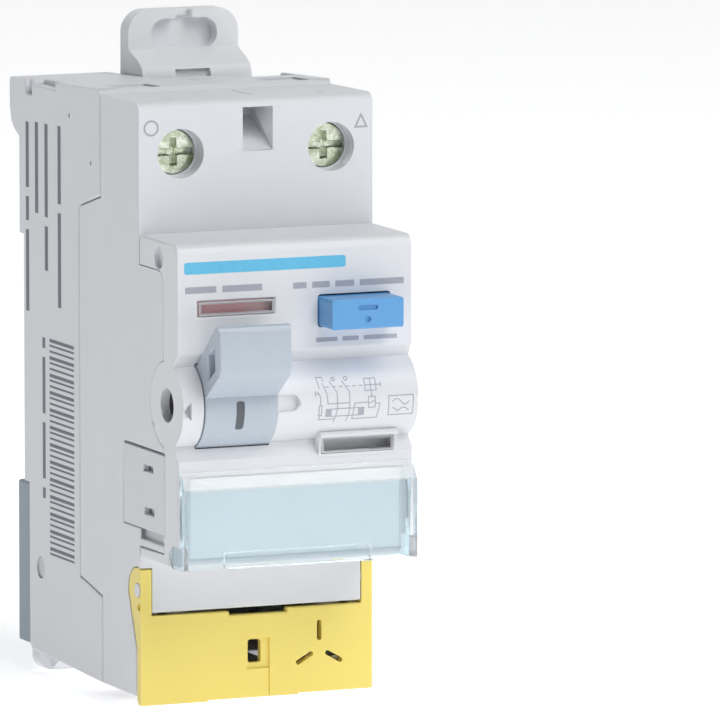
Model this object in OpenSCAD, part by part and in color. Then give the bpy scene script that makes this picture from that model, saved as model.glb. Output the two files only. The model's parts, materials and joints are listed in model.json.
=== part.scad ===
// Two-pole residual current device for a 35 mm DIN rail.
// Frame: +X right, front faces -Y, +Z up. The origin is the centre of the rail seat.
// The device is shown switched on, with every cover and clip closed.

/* [Body] */
// Width of the body, two modules
body_w = 35; // [34.6:0.1:35.4]
// Height of the upper shoulder above the rail centre
body_top = 40.7; // [40.2:0.1:41.2]
// Depth of the lower shoulder below the rail centre
body_low = 42.3; // [41.8:0.1:42.8]
// Distance from the rail seat to the terminal shoulders
shoulder_y = 44; // [43.6:0.1:44.4]
// Distance from the rail seat to the flat of the nose
nose_y = 57.9; // [57.6:0.1:58.2]
// Height of the nose
nose_h = 45; // [44.8:0.1:45.2]
// Thickness of the moulded walls
wall = 1.4; // [1.2:0.1:1.6]
// Distance from the rail seat to the seam in the shoulders
seam_y = 29.5; // [29.2:0.1:29.8]

/* [Toggle] */
// Distance from the rail seat to the toggle axis
tog_y = 54.2; // [54:0.1:54.4]
// Radius of the toggle drum
drum_r = 6.3; // [6.2:0.05:6.35]
// Radius of the barrel that the drum sits in
barrel_r = 6.15; // [6:0.05:6.2]
// Left side of the toggle
tog_x0 = -14.3; // [-14.4:0.1:-14.2]
// Width of the toggle
tog_w = 10.7; // [10.5:0.1:10.8]
// Radius of the toggle's stub axle
stub_r = 2.32; // [2.3:0.01:2.34]
// Radius of the holes that the stub axle runs in
stub_bore_r = 2.4; // [2.38:0.01:2.4]

/* [Test button] */
// Width of the test button
btn_w = 10.6; // [10.4:0.1:10.7]
// Height of the test button
btn_h = 4.2; // [4:0.1:4.3]
// Distance from the rail seat to the face of the test button
btn_y = 62.9; // [62.6:0.1:63.1]
// Middle of the test button across the body
btn_x = 8.8; // [8.7:0.1:8.9]
// Middle of the test button above the rail centre
btn_z = 12.4; // [12.3:0.1:12.5]

/* [Terminals] */
// Distance of each pole from the middle of the body
pole_x = 11.25; // [11.2:0.05:11.3]
// Height of the upper terminal screws
term_top_z = 33.4; // [33.3:0.1:33.5]
// Depth of the lower terminal screws below the rail centre
term_low_z = 35; // [34.9:0.1:35.1]
// Radius of the screwdriver holes
access_r = 3.45; // [3.4:0.05:3.5]
// Radius of a terminal screw's head
head_r = 3.1; // [3:0.05:3.15]
// Radius of a terminal screw's shank
shank_r = 2.3; // [2.2:0.05:2.4]

/* [Covers] */
// Thickness of the yellow terminal cover
cover_t = 1.3; // [1.2:0.05:1.4]
// Thickness of the clear label cover
label_t = 0.9; // [0.8:0.05:1]

/* [Rail clips] */
// Width of the upper rail clip
clip_w = 16.8; // [16.6:0.1:16.8]
// Height of the top of the upper clip
clip_top = 49; // [48.6:0.1:49.4]

/* [Hidden] */
$fn = 64;
hw = body_w / 2;
iw = hw - wall;
nz = nose_h / 2;
low = -body_low;
sh = -shoulder_y;
nose = -nose_y;
seam = -seam_y;
ty = -tog_y;
tog_x1 = tog_x0 + tog_w;
term_z = [term_top_z, -term_low_z];
gap = 0.15;
clip_x0 = -2.6;
clip_x1 = clip_x0 + clip_w;
// terminal cover hinge
cov_y = -42.9;
cov_z = -27.3;
// label cover hinge
lab_y = -56.3;
lab_z = -21;
// contact carrier pivot
car_y = -33;
car_z = -5;
boss_x = 15;
// peg that lifts the state flag: its radius, and half of the toggle's turn
peg_r = 3.9;
peg_turn = 35.5;
peg_z = -peg_r * sin(peg_turn);
// drive link ends
link_b = [-50.49, 1.97];
link_c = [-38.5, 7.5];
// trip lever pivot
trip_y = -31;
trip_z = 11.5;
// ring transformer
ring_y = -14;
ring_z0 = -24;
// hinge of the wire flaps
flap_y = -23.8;
flap_z = 39.9;
// busbar and cage places along the terminal screw
bar_y0 = -30.4;
bar_y1 = -29;
cage_y0 = -38.9;
cage_len = 11.4;

// ---- helpers ----

// Extrudes a (y, z) outline from x0 to x1
module prism_x(x0, x1) {
    translate([x0, 0, 0]) rotate([90, 0, 90]) linear_extrude(height = x1 - x0) children();
}

// Extrudes an (x, z) outline from y0, in front, to y1
module prism_y(y0, y1) {
    translate([0, y1, 0]) rotate([90, 0, 0]) linear_extrude(height = y1 - y0) children();
}

// Extrudes an (x, y) outline from z0 to z1
module prism_z(z0, z1) {
    translate([0, 0, z0]) linear_extrude(height = z1 - z0) children();
}

// A box from its three ranges
module block(x, y, z) {
    translate([x[0], y[0], z[0]]) cube([x[1] - x[0], y[1] - y[0], z[1] - z[0]]);
}

module rod_x(x0, x1, y, z, r) {
    translate([x0, y, z]) rotate([0, 90, 0]) cylinder(h = x1 - x0, r = r);
}

module rod_y(y0, y1, x, z, r) {
    translate([x, y1, z]) rotate([90, 0, 0]) cylinder(h = y1 - y0, r = r);
}

module rod_z(z0, z1, x, y, r) {
    translate([x, y, z0]) cylinder(h = z1 - z0, r = r);
}

// A 2-D rectangle from two corners with round corners
module round_rect(a, b, r) {
    translate([a[0] + r, a[1]]) square([b[0] - a[0] - 2 * r, b[1] - a[1]]);
    translate([a[0], a[1] + r]) square([b[0] - a[0], b[1] - a[1] - 2 * r]);
    for (x = [a[0] + r, b[0] - r], y = [a[1] + r, b[1] - r])
        translate([x, y]) circle(r = r);
}

// A round wire along a list of points, with ball joints at the bends
module wire(points, r) {
    for (i = [0 : len(points) - 2]) {
        d = points[i + 1] - points[i];
        turn = atan2(d[1], d[0]);
        tilt = acos(d[2] / norm(d));
        translate(points[i]) rotate([0, tilt, turn]) cylinder(h = norm(d), r = r, $fn = 24);
    }
    for (i = [1 : len(points) - 2]) translate(points[i]) sphere(r = r, $fn = 24);
}

// One ring of a coil's section, at turn angle a
function coil_ring(a, coil_r, wire_r, rise, sides) =
    [for (k = [0 : sides - 1])
        let (b = 360 * k / sides, rr = coil_r + wire_r * cos(b))
        [rr * cos(a), rr * sin(a), rise * a / 360 + wire_r * sin(b)]];

// A helical spring along +Z, starting at the origin
module coil(coil_r, wire_r, turns, length) {
    steps = 14;
    sides = 6;
    n = turns * steps;
    rise = length / turns;
    rings = [for (i = [0 : n]) coil_ring(i * 360 / steps, coil_r, wire_r, rise, sides)];
    points = [for (ring = rings, p = ring) p];
    skin = [for (i = [0 : n - 1], k = [0 : sides - 1])
        let (a = i * sides, b = a + sides, m = (k + 1) % sides)
        [a + k, b + k, b + m, a + m]];
    first = [for (k = [0 : sides - 1]) k];
    last = [for (k = [sides - 1 : -1 : 0]) n * sides + k];
    polyhedron(points = points, faces = concat([first], skin, [last]), convexity = 10);
}

// ---- housing ----

// Side outline of the rear shell
module base_outline() {
    polygon([
        [0, -17.6], [0, 17.6], [1.6, 17.6], [1.6, 31.3], [3.4, 32.2], [4.6, 33.2], [5, 34.4],
        [5, 39.2], [4.6, 39.6], [seam + 0.7, body_top + 0.5], [seam, body_top - 0.2],
        [seam, 26.25], [-22, 24.25], [-21.4, 23.65], [-21.4, -28.4], [-24.5, -28.95],
        [seam - 0.3, -30.1], [seam - 0.3, low], [-2.6, low + 0.9], [-1.9, low + 1.6], [-1.9, -17.6]
    ]);
}

// Solid left for the channel of the upper clip
module clip_block() {
    block([clip_x0 - 1.8, hw], [-8.2, 6], [11, 45]);
    block([clip_x0 - 1.8, hw], [-14.2, 6], [31.6, 45]);
}

module housing_base() {
    color([0.80, 0.81, 0.83])
    difference() {
        prism_x(-hw, hw) base_outline();
        difference() {
            block([-iw, iw], [-31, -2], [low + 1.8, body_top - 2]);
            clip_block();
            block([-8, 8], [-9.6, 0], [low, -25.6]);
        }
        // notch above the rail, which the clip stands in
        block([clip_x0 - gap, hw + 1], [-12.7, 8], [33.6, 45]);
        block([clip_x0 - gap, hw + 1], [1.6, 8], [30, 45]);
        // channel of the upper clip, with a side groove each way
        block([clip_x0 - gap, clip_x1 + gap], [-5.2, 8], [17.3, 34]);
        block([clip_x0 - 1, clip_x1 + 1], [-4.2, -2.4], [19.3, 38]);
        // channel of the lower clip
        block([-4.15, 4.15], [-7.2, 1], [low - 1, -26.5]);
        block([-6.15, 6.15], [-7.2, -4.8], [low - 1, -26.5]);
        // wire entries
        for (s = [-1, 1]) {
            block([s * pole_x - 3, s * pole_x + 3], [-28.9, -23.1], [36, 45]);
            block([s * pole_x - 3.6, s * pole_x + 3.6], [-29, -20.6], [low - 1, low + 3]);
        }
        // vents, pin recesses and moulding marks
        for (s = [-1, 1]) translate([s * hw, 0, 0]) {
            rod_x(-0.6, 0.6, -6.4, -29.2, 1.6);
            rod_x(-0.3, 0.3, -26, 30.5, 0.35);
            rod_x(-0.3, 0.3, -17.9, 36.3, 0.35);
        }
        block([0.4, 0.7], [-21.5, -15], [body_top - 0.6, 45]);
        block([7.6, 16.6], [-18.6, -12], [body_top - 0.9, 45]);
        block([-hw - 1, -hw + 1.6], [-12.5, -4.4], [39.35, 45]);
        block([-hw - 1, -hw + 0.8], [-3.4, -1.2], [37.8, 45]);
    }
}

// Side outline of the front shell
module front_outline() {
    difference() {
        polygon(concat(
            [[seam - 0.1, body_top - 0.25], [sh + 1.7, body_top]],
            [for (a = [100 : 20 : 180]) [sh + 1.5 + 1.5 * cos(a), body_top - 1.5 + 1.5 * sin(a)]],
            [[sh, 18.25], [-51.2, 18.25]],
            [for (a = [100 : 20 : 180]) [-51.2 + 1.7 * cos(a), 16.55 + 1.7 * sin(a)]],
            [[-52.9, -20.85], [sh, -20.85], [sh, low + 0.7], [sh + 0.7, low]],
            [[seam - 0.45, low], [seam - 0.45, -29.95], [-24.5, -28.8], [-21.55, -28.25]],
            [[-21.55, 23.5], [-22, 24.1], [seam - 0.1, 26.1]]
        ));
        translate([ty, 0]) circle(r = barrel_r);
    }
}

// Room for the ears of the terminal cover, at side s
module ear_room(s) {
    x0 = s > 0 ? hw - 1.85 : -hw - 1;
    rod_x(x0, x0 + 2.85, cov_y, cov_z, 3.35);
    block([x0, x0 + 2.85], [sh - 1, cov_y], [low - 1, cov_z]);
    prism_x(x0, x0 + 2.85)
        polygon([[cov_y + 3.35, cov_z], [-40.9, -31.5], [-42.55, -36], [sh - 1, -36], [sh - 1, cov_z]]);
}

// Pocket behind the middle window of the upper shoulder
module window_pocket() {
    block([-2, 2.5], [sh - 1, -35.6], [33.4, 39.45]);
}

module housing_front() {
    color([0.84, 0.85, 0.87])
    difference() {
        union() {
            difference() {
                prism_x(-hw, hw) front_outline();
                block([-iw, iw], [sh + wall, -19], [low + wall, body_top - wall]);
                block([-iw, iw], [-60, sh + 2], [-21.5, 17]);
                block([-iw, iw], [-60, sh - 0.01], [-21.5, 19]);
            }
            // screwdriver tubes
            for (s = [-1, 1], z = term_z) rod_y(sh + 0.5, -39.3, s * pole_x, z, access_r + 1.1);
            // walls round the window pocket
            block([-2.9, 3.4], [sh + 0.5, -35], [32.5, body_top - 0.5]);
            // bearings of the carrier pin
            for (s = [-1, 1])
                translate([s > 0 ? boss_x : -iw - 0.1, 0, 0]) rod_x(0, iw + 0.1 - boss_x, car_y, car_z, 2.6);
            // thicker sides under the cover's ears
            for (x = [-hw + 1.85, hw - 3.25])
                block([x, x + 1.4], [sh + 0.1, -39.2], [-37, -23]);
        }
        // screwdriver holes: the outer length is free, the inner one holds the head
        for (s = [-1, 1], z = term_z) {
            rod_y(sh - 1, -41.4, s * pole_x, z, access_r);
            rod_y(-42, -39, s * pole_x, z, head_r + 0.1);
        }
        // recess for the terminal cover, with room for its ears
        block([-hw - 1, hw + 1], [sh - 1, sh + cover_t + 0.15], [low - 1, -30.5]);
        ear_room(-1);
        ear_room(1);
        // window with a sloping floor
        difference() {
            window_pocket();
            prism_x(-2.1, 2.6) polygon([[sh - 0.01, 33.4], [-35.6, 37.4], [-35.6, 33.3], [sh - 0.01, 33.3]]);
        }
        // bore of the carrier pin
        rod_x(-iw, iw, car_y, car_z, 1.53);
        // side plate seats, finger notch
        for (x = [-hw - 1, hw - 1.1]) block([x, x + 2.1], [-60, -38], [-18.4, -6.9]);
        for (x = [-hw - 1, hw - 0.7]) block([x, x + 1.7], [-60, -44.5], [-19.75, -18.3]);
        // moulding marks on the top
        block([0.95, 1.25], [-39.5, -32.3], [body_top - 0.5, 45]);
        for (s = [-1, 1]) rod_z(body_top - 0.3, 45, s * pole_x, -40.1, 0.55);
    }
    // hinge pins of the terminal cover
    color([0.84, 0.85, 0.87])
    for (x = [-hw, hw - 1.9]) rod_x(x, x + 1.9, cov_y, cov_z, 0.95);
}

// Side outline of the nose cover
module nose_outline() {
    polygon([
        [-53.05, -nz], [nose + 0.6, -nz], [nose - 0.1, -nz + 0.8], [nose - 0.3, -7.4], [-56.9, -6],
        [-56.6, -5.2], [-56.6, 5.6], [-57, 6.2], [nose - 0.1, 7.2], [nose, nz - 1.4],
        [nose + 0.3, nz - 0.5], [nose + 1.1, nz], [sh - 0.05, nz], [sh - 0.05, 18.4],
        [-51.4, 18.4], [-52.5, 17.9], [-53.05, 16.8]
    ]);
    translate([ty, 0]) circle(r = barrel_r - 0.12);
    translate([-54, -nz]) square([sh - 0.05 + 54, 1.55]);
}

// Room for the hinge ears of the label cover, at side s
module knuckle_room(s) {
    x0 = s > 0 ? hw - 1.3 : -hw - 1;
    rod_x(x0, x0 + 2.3, lab_y, lab_z, 1.75);
    block([x0, x0 + 2.3], [-62, lab_y], [-23.5, lab_z + 1.75]);
    block([x0, x0 + 2.3], [lab_y - 0.1, lab_y + 1.75], [-23.5, lab_z]);
}

module nose_cover() {
    color([0.85, 0.86, 0.88])
    difference() {
        union() {
            difference() {
                prism_x(-hw, hw) nose_outline();
                // inside of the nose, the barrel's front stays one wall thick
                difference() {
                    block([-iw, iw], [nose + wall, -40], [-20.95, nz - wall]);
                    rod_x(-hw, hw, ty, 0, barrel_r - 0.1);
                }
                rod_x(-iw, iw, ty, 0, barrel_r - wall);
                block([-iw, iw], [-54.2, -40], [-6.5, 6.5]);
            }
            // inner web that carries the right end of the toggle
            rod_x(tog_x1 + 0.3, tog_x1 + 1.6, ty, 0, barrel_r - 0.3);
            // support of the test button's spring
            block([btn_x - 4, btn_x + 4], [-49.5, -48.3], [9, nz - 0.5]);
        }
        // drum opening
        block([tog_x0 - gap, tog_x1 + gap], [-66, -40], [-5.1, 5.8]);
        rod_x(tog_x0 - gap, tog_x1 + gap, ty, 0, drum_r + 0.2);
        // axle holes
        rod_x(-hw - 1, tog_x1 + 2, ty, 0, stub_bore_r);
        rod_x(hw - 0.9, hw + 1, ty, 0, stub_bore_r);
        // test button opening and the hole for its stem
        prism_y(-66, -50) round_rect([btn_x - btn_w / 2 - 0.15, btn_z - btn_h / 2 - 0.15],
            [btn_x + btn_w / 2 + 0.15, btn_z + btn_h / 2 + 0.25], 0.5);
        rod_y(-52, -46, btn_x, btn_z, 1.2);
        // state window and trip window
        block([-14.4, -3], [-60, -50], [12.5, 14.6]);
        block([-15, -2.4], [nose + 0.7, -50], [11.9, 15.2]);
        block([3.7, 14.5], [-62, -50], [-7.4, -5.2]);
        block([3, 15.4], [-55.6, -50], [-12, -4.2]);
        // seat of the label insert
        block([-16, 16], [-60, nose + 0.05], [-21.2, -9.6]);
        knuckle_room(-1);
        knuckle_room(1);
        // capsule dimple beside the drum and the notch on its other side
        rod_y(-62, -59.35, -1.4, 0.2, 1.2);
        block([-4, -1.4], [-62, -59.7], [-1, 1.4]);
        prism_y(-62, -59.3) polygon([[-17.35, -0.2], [-16.3, 1.1], [-16.3, -1.5]]);
        // side plate seats
        for (x = [-hw - 1, hw - 1.1]) block([x, x + 2.1], [-53.45, -38], [-18.4, -6.9]);
        // round recess in each cheek
        for (x = [-hw - 1, hw - 0.7]) rod_x(x, x + 1.7, -51.2, 20.1, 1.6);
    }
    // bezel round the trip window
    color([0.85, 0.86, 0.88])
    difference() {
        prism_x(3.3, 14.9) polygon([
            [nose + 0.4, -7.8], [nose - 0.4, -7.8], [nose - 0.8, -5.2], [nose - 1.3, -5], [nose - 1.3, -4.5],
            [-57.4, -4.1], [-56.4, -7.8]
        ]);
        block([3.7, 14.5], [-62, -50], [-7.4, -5.2]);
    }
}

module side_plates() {
    color([0.78, 0.80, 0.83])
    for (s = [-1, 1]) {
        x0 = s > 0 ? hw - 1 : -hw;
        difference() {
            block([x0, x0 + 1], [-53.25, -38.1], [-18.3, -7.2]);
            block([x0 - 1, x0 + 2], [-49, -45.3], [-10.2, -9.3]);
            block([x0 - 1, x0 + 2], [-49.3, -45.6], [-16.2, -15.2]);
        }
    }
}

module assembly_pins() {
    color([0.75, 0.76, 0.79])
    for (x = [-hw + 0.25, hw - 0.6]) rod_x(x, x + 0.35, -6.4, -29.2, 1.5);
}

// ---- toggle and drive ----

module toggle() {
    color([0.71, 0.75, 0.80])
    difference() {
        union() {
            difference() {
                prism_x(tog_x0, tog_x1) union() {
                    translate([ty, 0]) circle(r = drum_r, $fn = 96);
                    // lever
                    polygon([
                        [-57.1, 5.5], [-63.8, 11.6], [-64.4, 11.9], [-65, 11.7], [-65.4, 11],
                        [-65.6, 6.2], [-65.1, 5], [-60.35, 1.5], [ty, 0]
                    ]);
                }
                // hollow in each flank of the lever
                for (x = [tog_x0 - 1, tog_x1 - 1.1])
                    prism_x(x, x + 2.1) polygon([[-60.9, 7.6], [-63.5, 8.8], [-63.6, 5.9], [-61.3, 4.3]]);
                // flat at the back of the drum, with a slot for the link
                block([tog_x0 - 1, tog_x1 + 1], [ty + 5.4, -40], [-10, 10]);
                block([-10.35, -8.75], [-52, -40], [-9, 7]);
            }
            // stub axles
            rod_x(-16.2, tog_x0 + 0.1, ty, 0, stub_r);
            rod_x(tog_x1 - 0.1, 1.6, ty, 0, stub_r);
            // peg that lifts the state flag
            translate([0, ty, 0]) rotate([-peg_turn, 0, 0]) rod_x(-15.65, tog_x0 + 0.1, peg_r, 0, 0.5);
        }
        // square socket in the left stub
        block([-17, -14.9], [ty - 1, ty + 1], [-1, 1]);
        // hole for the link's pin
        rod_x(-12.5, -6.6, link_b[0], link_b[1], 0.8);
    }
}

module toggle_spring() {
    color([0.75, 0.75, 0.72])
    translate([-1.7, ty, 0]) rotate([0, 90, 0]) coil(3, 0.3, 4, 3);
}

// Flat link with a pin at each end
module drive_link() {
    d = link_c - link_b;
    ang = atan2(d[1], d[0]);
    color([0.72, 0.73, 0.74])
    union() {
        prism_x(-10.15, -8.95) union() {
            translate(link_b) rotate(ang) translate([0, -0.9]) square([norm(d), 1.8]);
            translate(link_b) circle(r = 1.3);
            translate(link_c) circle(r = 1.3);
        }
        rod_x(-12.3, -6.8, link_b[0], link_b[1], 0.72);
        rod_x(-12, -7.1, link_c[0], link_c[1], 0.72);
    }
}

module mechanism_frame() {
    color([0.70, 0.71, 0.72])
    difference() {
        union() {
            for (x = [-6.4, 5.6])
                prism_x(x, x + 0.8) polygon([[-40.5, 20], [-40.5, 12], [-33, 8.6], [-28.6, 8.6], [-28.6, 20]]);
            block([-6.4, 6.4], [-40.5, -28.6], [19.2, 20]);
            block([-6.4, 6.4], [-42.5, -41.7], [19.2, 26]);
            block([-6.4, 6.4], [-42.5, -40], [19.2, 20]);
        }
        rod_x(-7, 7, trip_y, trip_z, 1.05);
    }
}

// ---- contacts ----

// Carrier frame over one pole
module carrier_fork(x) {
    block([x - 3.6, x + 3.6], [-37.6, -36.2], [car_z + 1, 13]);
    for (dx = [-3.6, 2.8]) block([x + dx, x + dx + 0.8], [-37.6, -31.4], [car_z, 11]);
}

module contact_carrier() {
    color([0.18, 0.19, 0.21])
    difference() {
        union() {
            rod_x(-14.4, 14.4, car_y, car_z, 2.9);
            carrier_fork(-pole_x);
            carrier_fork(pole_x);
            // ears for the drive link
            for (x = [-12.2, -8.5]) prism_x(x, x + 1.4)
                polygon([[-36.4, 1], [-40.7, 5.4], [-40.7, 9.6], [-36.4, 9.6]]);
        }
        rod_x(-15, 15, car_y, car_z, 1.56);
        // slots of the link's pin
        prism_x(-12.6, -6.9) translate(link_c) round_rect([-1.32, -1.25], [1.32, 1.25], 0.7);
        block([-10.75, -8.55], [-41, -36], [3, 10]);
        // room for the contact arms
        for (x = [-pole_x, pole_x]) block([x - 2.75, x + 2.75], [-32.05, -29], [-9, 0]);
    }
}

module carrier_pin() {
    color([0.76, 0.77, 0.78]) rod_x(-iw + 0.05, iw - 0.05, car_y, car_z, 1.5);
}

module contact_arm(x) {
    color([0.80, 0.50, 0.32])
    difference() {
        union() {
            block([x - 2.6, x + 2.6], [-31.3, -29.9], [-7, 16.6]);
            rod_y(-32.8, -31.2, x, 7, 0.9);
        }
        rod_y(-32, -29, x, 0.5, 0.7);
    }
}

module contact_tips(y0, y1) {
    color([0.90, 0.90, 0.90])
    for (x = [-pole_x, pole_x]) rod_y(y0, y1, x, 14, 1.9);
}

module contact_springs() {
    color([0.75, 0.75, 0.72])
    for (x = [-pole_x, pole_x])
        translate([x, -35.9, 7]) rotate([-90, 0, 0]) coil(1.5, 0.25, 5, 4.3);
}

// Upper busbar: from the cage, round a jog, down to the fixed contact
module busbar_top(x) {
    color([0.80, 0.50, 0.32])
    prism_x(x - 2.7, x + 2.7) polygon([
        [bar_y0, 37.6], [bar_y0, 24.8], [-27.4, 24.8], [-27.4, 10.5],
        [-25.9, 10.5], [-25.9, 26.3], [bar_y1, 26.3], [bar_y1, 37.6]
    ]);
}

module busbar_bottom(x) {
    color([0.80, 0.50, 0.32])
    prism_x(x - 2.7, x + 2.7) polygon([
        [bar_y0, -39.6], [bar_y0, -26.2], [-24.4, -26.2], [-24.4, -27.6], [bar_y1, -27.6], [bar_y1, -39.6]
    ]);
}

// Flexible lead of pole side s, from the contact arm through the ring
module primary_conductor(s) {
    color([0.78, 0.46, 0.28])
    wire([
        [s * pole_x, -31.5, -8.6], [s * pole_x, -27, -10.2], [s * 2.3, ring_y, -11.4],
        [s * 2.3, ring_y, -25.4], [s * 10.2, -25.6, -26.9]
    ], 1.35);
}

// ---- ring transformer and trip relay ----

module toroid_core() {
    color([0.35, 0.36, 0.38])
    translate([0, ring_y, ring_z0 + 2.4]) rotate_extrude() translate([6.9, 0]) square([2.6, 6.2]);
}

module secondary_winding() {
    color([0.62, 0.30, 0.14])
    translate([0, ring_y, ring_z0]) rotate([0, 0, 120]) rotate_extrude(angle = 300)
        difference() {
            translate([6.3, 1.8]) square([3.8, 7.4]);
            translate([6.85, 2.35]) square([2.7, 6.3]);
        }
}

module toroid_case() {
    color([0.16, 0.17, 0.19])
    translate([0, ring_y, ring_z0]) rotate_extrude() difference() {
        translate([5.1, 0]) square([6.2, 11]);
        translate([6, 1]) square([4.4, 9]);
    }
}

module trip_relay() {
    color([0.30, 0.31, 0.33])
    difference() {
        block([-3, 11], [-23.5, -9.4], [-8.6, 8.6]);
        block([-2, 10], [-22.4, -10.4], [-7.6, 7.6]);
        rod_y(-24, -22, 1, 4, 1);
    }
}

module relay_plunger() {
    color([0.78, 0.66, 0.36]) union() {
        rod_y(-26.4, -16.5, 1, 4, 0.94);
        rod_y(-20.2, -18.2, 1, 4, 1.9);
    }
}

module trip_lever() {
    color([0.82, 0.80, 0.72])
    difference() {
        union() {
            rod_x(-5.3, 5.3, trip_y, trip_z, 2);
            prism_x(-1, 3) polygon([[-32, 11], [-28, 1.6], [-26.5, 1.6], [-26.5, 5.4], [-29.4, 12.4]]);
            prism_x(3.4, 4.8) polygon([[-31, 13], [-38, 15.2], [-39.2, 14], [-38.2, 12.8], [-31.5, 10]]);
        }
        rod_x(-6, 6, trip_y, trip_z, 1.05);
    }
}

module trip_lever_pin() {
    color([0.76, 0.77, 0.78]) rod_x(-7, 7, trip_y, trip_z, 1);
}

module trip_flag() {
    color([0.50, 0.51, 0.53]) union() {
        block([3.2, 15.2], [-55.4, -54.8], [-11.2, -4.4]);
        block([3.2, 4.2], [-54.9, -46], [-11.2, -8.4]);
    }
}

module trip_lens() {
    color([0.85, 0.90, 0.92, 0.4])
    block([3.8, 14.4], [nose - 0.5, -56.6], [-7.3, -5.3]);
}

// ---- test circuit ----

module test_button() {
    z0 = btn_z - btn_h / 2;
    z1 = btn_z + btn_h / 2;
    color([0.45, 0.69, 0.92])
    difference() {
        union() {
            prism_y(-btn_y, -55) round_rect([btn_x - btn_w / 2, z0], [btn_x + btn_w / 2, z1], 0.4);
            block([btn_x - btn_w / 2 - 0.7, btn_x + btn_w / 2 + 0.7], [-56.3, -55.2], [z0 - 0.6, z1 + 0.6]);
            rod_y(-56, -47, btn_x, btn_z, 1);
        }
        // engraved mark: a bar over a dot
        prism_y(-btn_y - 1, -btn_y + 0.35) round_rect([btn_x - 1.5, 12.9], [btn_x + 1.5, 13.6], 0.34);
        rod_y(-btn_y - 1, -btn_y + 0.35, btn_x, 11.6, 0.45);
    }
}

module test_spring() {
    color([0.75, 0.75, 0.72])
    translate([btn_x, -54.7, btn_z]) rotate([-90, 0, 0]) coil(1.7, 0.25, 4, 2.8);
}

module test_blade() {
    color([0.85, 0.68, 0.35]) union() {
        block([7.3, 10.3], [-46.5, -46.2], [3, 14]);
        rod_x(7.3, 10.3, -46.35, 3, 0.7);
    }
}

module test_resistor() {
    z = 15.4;
    color([0.72, 0.62, 0.45]) union() {
        rod_x(7.8, 15, -40, z, 1.3);
        block([7, 8], [-43.7, -39.7], [z - 0.3, z + 0.3]);
        block([7, 7.6], [-43.7, -43.1], [13.7, z + 0.2]);
        block([7, 10.4], [-43.7, -43.1], [13.7, 14.3]);
    }
}

module circuit_board() {
    color([0.10, 0.38, 0.22]) block([-15.4, -14.2], [-24, -4], [-9, 19]);
}

module board_components() {
    color([0.20, 0.22, 0.30]) union() {
        rod_x(-14.15, -6, -12, 10, 3.1);
        block([-14.15, -12], [-22, -17], [-4, 4]);
        block([-14.15, -11.8], [-8, -5.4], [-6, -1]);
        for (z = [0, 2.6]) rod_z(z - 4.4, z - 3, -12.8, -12, 0.8);
    }
}

// ---- windows and covers ----

module indicator_flag() {
    color([0.78, 0.30, 0.28]) union() {
        block([-15.9, -2.6], [-56.1, -55.5], [7.9, 15.5]);
        // arm that ends in a fork round the toggle's peg
        prism_x(-16, -15.25) polygon([
            [-56, 12], [-56, 15.4], [-48.8, 15.4], [-48.8, peg_z - 1.4], [-51.65, peg_z - 1.4],
            [-51.65, peg_z - 0.62], [-49.6, peg_z - 0.62], [-49.6, peg_z + 0.62],
            [-51.65, peg_z + 0.62], [-51.65, 12]
        ]);
    }
}

module indicator_lens() {
    color([0.85, 0.88, 0.90, 0.4]) union() {
        block([-14.3, -3.1], [nose - 0.1, nose + 1], [12.6, 14.5]);
        block([-14.9, -2.5], [nose + 0.75, nose + 1.3], [12, 15.1]);
    }
}

// Side outline of the clear label cover
module label_outline() {
    polygon([
        [nose - 0.45, -8.8], [-60.1, -11.3], [-60.1, -22.2], [-60.1 + label_t, -22.4],
        [-60.1 + label_t, -11.6], [nose - 0.45, -10]
    ]);
}

module label_cover() {
    lx = hw - 0.1;
    color([0.75, 0.88, 0.93, 0.4]) union() {
        prism_x(-lx, lx) label_outline();
        // rail along the bottom and the two end walls
        block([-11, 10.8], [-60.1, -58.6], [-22.4, -20.2]);
        for (x = [-lx, lx - 0.9]) {
            prism_x(x, x + 0.9) polygon([
                [nose - 0.45, -8.8], [-60, -11.3], [-60, -22.3], [-58.6, -22.3], [-58.45, -10]
            ]);
            // hinge ear
            prism_x(x, x + 0.9) polygon([
                [-58.5, -22.3], [-60, -22.3], [-60, -19.4], [-58.5, -19.4], [lab_y, lab_z + 1.5],
                [lab_y, lab_z - 1.3]
            ]);
            rod_x(x, x + 0.9, lab_y, lab_z, 1.5);
        }
    }
}

module label_insert() {
    color([0.93, 0.94, 0.95]) block([-15.8, 15.8], [nose - 0.3, nose], [-21, -9.8]);
}

// One ear of the terminal cover, from x0 to x1
module cover_ear(x0, x1) {
    difference() {
        prism_x(x0, x1) union() {
            intersection() {
                translate([cov_y, cov_z]) circle(r = 3.15);
                translate([sh - 0.1, cov_z - 4]) square([6, 8]);
            }
            polygon([
                [sh - 0.1, cov_z], [cov_y + 3.15, cov_z], [-41.1, -31.5], [-42.75, -36], [-42.75, -43],
                [sh - 0.1, -43]
            ]);
        }
        rod_x(x0 - 1, x1 + 1, cov_y, cov_z, 1.03);
        rod_x(x0 - 0.5, x0 + 0.35, sh + 0.6, -29.6, 0.55);
    }
}

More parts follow.
